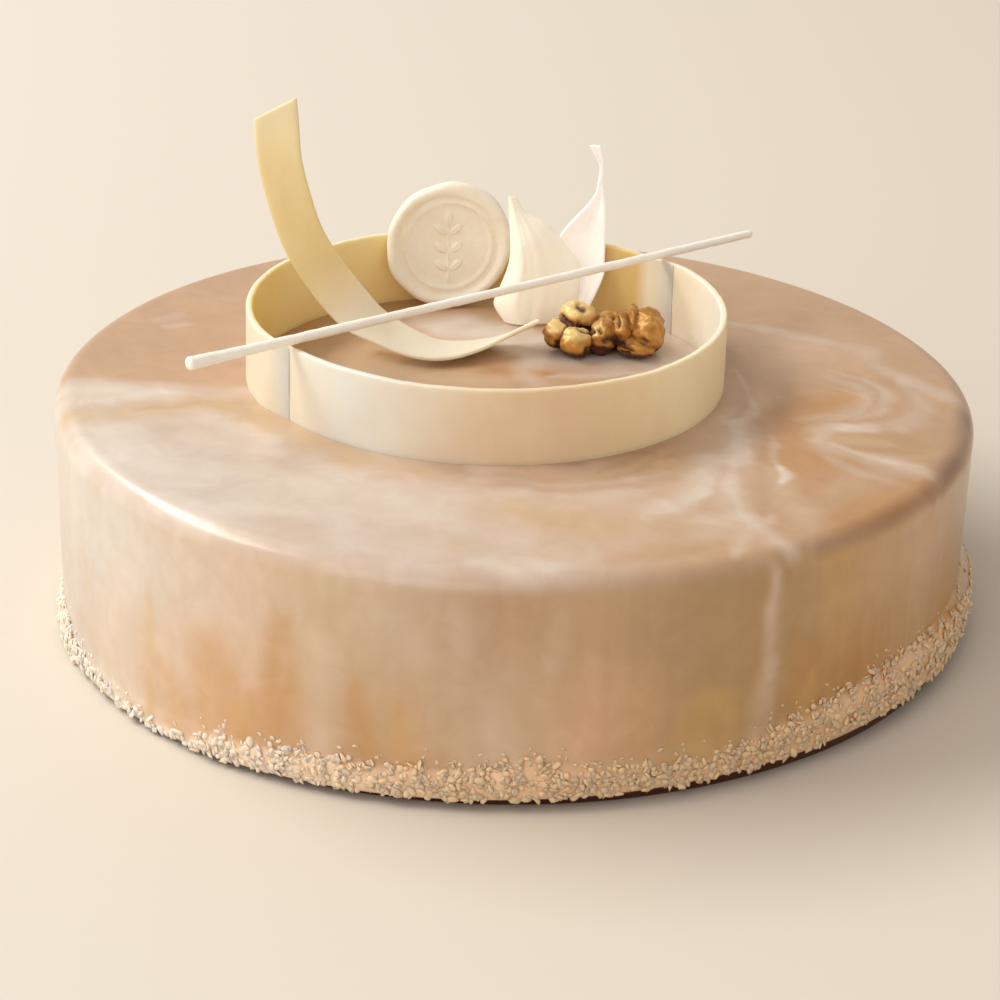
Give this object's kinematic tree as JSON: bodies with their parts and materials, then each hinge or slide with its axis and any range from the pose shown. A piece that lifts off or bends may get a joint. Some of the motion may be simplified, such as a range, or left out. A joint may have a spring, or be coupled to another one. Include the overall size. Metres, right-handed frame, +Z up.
{
  "type": "cheesecake",
  "caption": "Round whole glazed cheesecake with a band of white flakes at its foot and a chocolate ring, ribbon, stick, seal, petals and gilded walnut on top.",
  "frame": {"origin": "centre of the cake's foot, on the surface it stands on", "axes": "+Z up, -Y towards the front of the cake, +X to the right seen from the front"},
  "size_m": [0.2461, 0.2457, 0.131],
  "materials": {
    "glaze": "marbled mirror glaze, satin to glossy, with white flakes at the foot",
    "chocolate": "smooth ivory chocolate, satin",
    "white_chocolate": "matt white chocolate",
    "gilding": "edible gold over a walnut half"
  },
  "bodies": {
    "root": {"cake": "glaze", "ring_back": "chocolate", "ring_front": "chocolate", "ribbon": "chocolate", "stick": "white_chocolate", "seal": "white_chocolate", "petal_left": "white_chocolate", "petal_right": "white_chocolate", "walnut": "gilding"}
  },
  "joints": []
}
